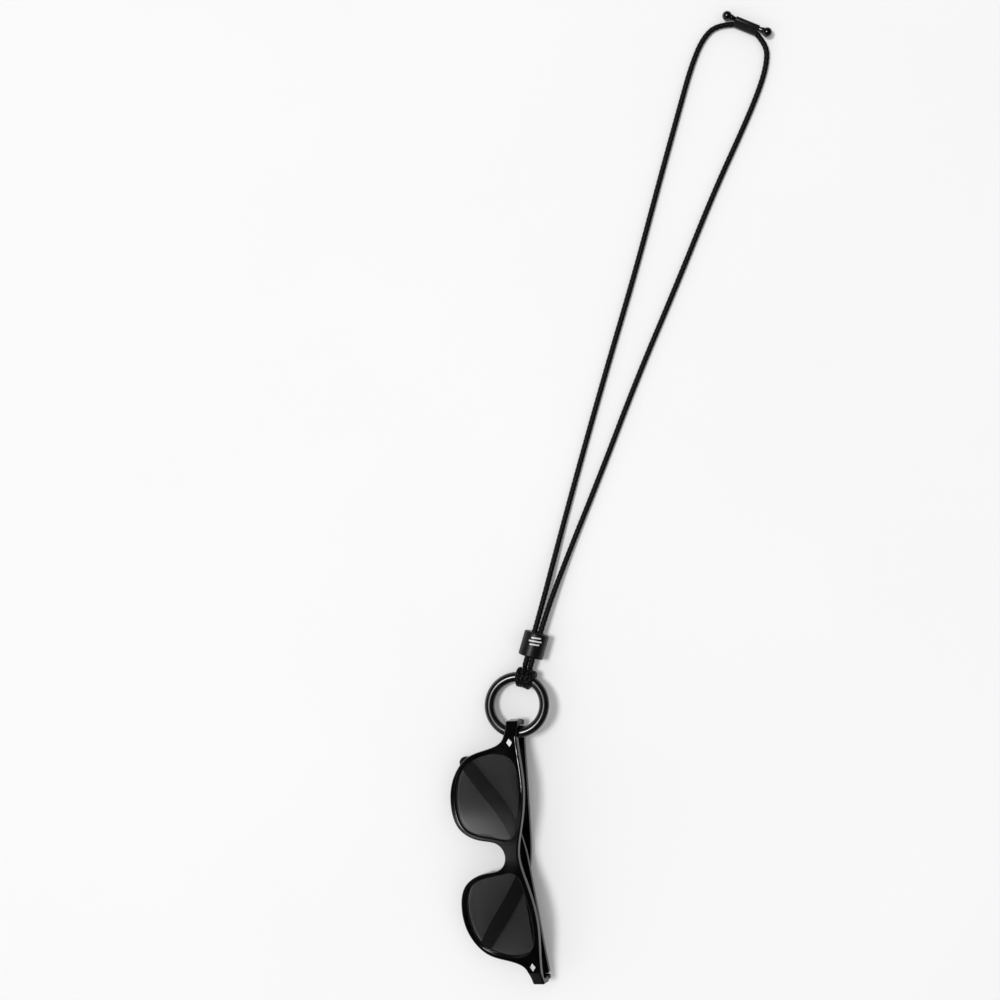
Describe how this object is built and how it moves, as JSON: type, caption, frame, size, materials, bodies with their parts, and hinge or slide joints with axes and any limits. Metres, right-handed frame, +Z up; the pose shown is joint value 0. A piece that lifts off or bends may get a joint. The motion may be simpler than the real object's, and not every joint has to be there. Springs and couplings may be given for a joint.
{
  "type": "sunglasses on neck lanyard",
  "caption": "Folded black sunglasses hung by a hinge corner on a metal ring, with a braided neck cord, slide bead and adjuster sleeve.",
  "frame": {"origin": "middle of the folded glasses' footprint on the surface they lie on, the lanyard not counted", "axes": "+Z up from the surface, +Y along the glasses towards the wearer's right end and the ring, +X towards the brow"},
  "size_m": [0.2276, 0.5372, 0.0269],
  "materials": {
    "acetate": "polished",
    "lens": "polished tinted",
    "hinge_metal": "blackened satin",
    "stud": "polished",
    "ring_metal": "glossy dark plating",
    "cord": "braided",
    "bead": "matte",
    "sleeve": "satin",
    "ball": "polished"
  },
  "bodies": {
    "front": {"front_frame": "acetate", "left_lens": "lens", "left_front_hinge_leaf": "hinge_metal", "left_hinge_screw": "hinge_metal", "left_front_stud": "stud", "left_nose_pad": "acetate", "right_lens": "lens", "right_front_hinge_leaf": "hinge_metal", "right_hinge_screw": "hinge_metal", "right_front_stud": "stud", "right_nose_pad": "acetate"},
    "right_temple_arm": {"right_temple": "acetate", "right_temple_core": "hinge_metal", "right_temple_hinge_leaf": "hinge_metal", "right_temple_rivets": "stud"},
    "left_temple_arm": {"left_temple": "acetate", "left_temple_core": "hinge_metal", "left_temple_hinge_leaf": "hinge_metal", "left_temple_rivets": "stud"},
    "ring": {"ring": "ring_metal"},
    "lanyard": {"hitch": "cord", "left_cord": "cord", "right_cord": "cord", "sleeve": "sleeve"},
    "bead": {"bead": "bead"},
    "left_end": {"left_tail": "cord", "left_ball_end": "ball"},
    "right_end": {"right_tail": "cord", "right_ball_end": "ball"}
  },
  "joints": [
    {"name": "right_temple_hinge", "type": "hinge", "parent": "front", "child": "right_temple_arm", "pos_m": [0.01939, 0.0726, 0.00747], "axis": [0.9252, 0, 0.3795], "range_deg": [0, 89]},
    {"name": "left_temple_hinge", "type": "hinge", "parent": "front", "child": "left_temple_arm", "pos_m": [0.01939, -0.0726, 0.00747], "axis": [-0.9252, 0, -0.3795], "range_deg": [0, 94]},
    {"name": "ring_swing", "type": "hinge", "parent": "front", "child": "ring", "pos_m": [0.01719, 0.0672, 0.01283], "axis": [0.9633, -0.1215, 0.2394], "range_deg": [-25, 25]},
    {"name": "hitch_swing", "type": "hinge", "parent": "ring", "child": "lanyard", "pos_m": [0.02569, 0.0972, 0.00754], "axis": [0.9076, -0.3181, 0.2741], "range_deg": [-18, 18]},
    {"name": "bead_slide", "type": "slide", "parent": "lanyard", "child": "bead", "axis": [0.373, 0.9278, 0], "range_m": [-0.004, 0.005]},
    {"name": "left_end_pull", "type": "slide", "parent": "lanyard", "child": "left_end", "axis": [-0.8813, 0.4726, 0], "range_m": [0, 0.005]},
    {"name": "right_end_pull", "type": "slide", "parent": "lanyard", "child": "right_end", "axis": [0.8813, -0.4726, 0], "range_m": [0, 0.005]}
  ]
}
